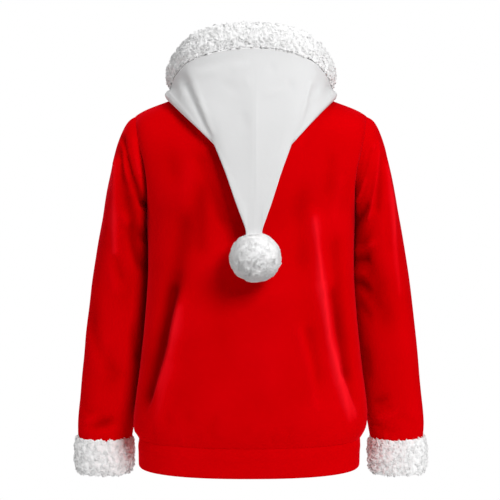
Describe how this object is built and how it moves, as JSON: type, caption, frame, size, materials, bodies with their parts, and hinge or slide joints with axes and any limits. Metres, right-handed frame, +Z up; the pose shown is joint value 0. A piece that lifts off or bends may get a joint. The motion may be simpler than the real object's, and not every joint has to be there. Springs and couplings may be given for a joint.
{
  "type": "hooded plush pullover with a pointed hood",
  "caption": "Red plush pullover filled out as if worn, with a white pointed hood hanging down the back, a fleece band and cuffs, and a pompom at the hood's tip.",
  "frame": {"origin": "middle of the neck, level with the upper ends of the shoulder seams", "axes": "+Z up the body, +Y out of the back, +X to the wearer's left"},
  "size_m": [0.6565, 0.3497, 0.8113],
  "materials": {
    "red_plush": "short dense pile with a soft sheen",
    "white_plush": "smooth short pile",
    "white_sherpa": "curly clumped fleece",
    "white_pile": "dense fluffy pile"
  },
  "bodies": {
    "root": {"back": "red_plush", "front": "red_plush", "sleeve_left": "red_plush", "sleeve_right": "red_plush", "hem_band": "red_plush", "cuff_left": "white_sherpa", "cuff_right": "white_sherpa", "hood_left": "white_plush", "hood_right": "white_plush", "hood_trim": "white_sherpa", "pompom": "white_pile"}
  },
  "joints": []
}
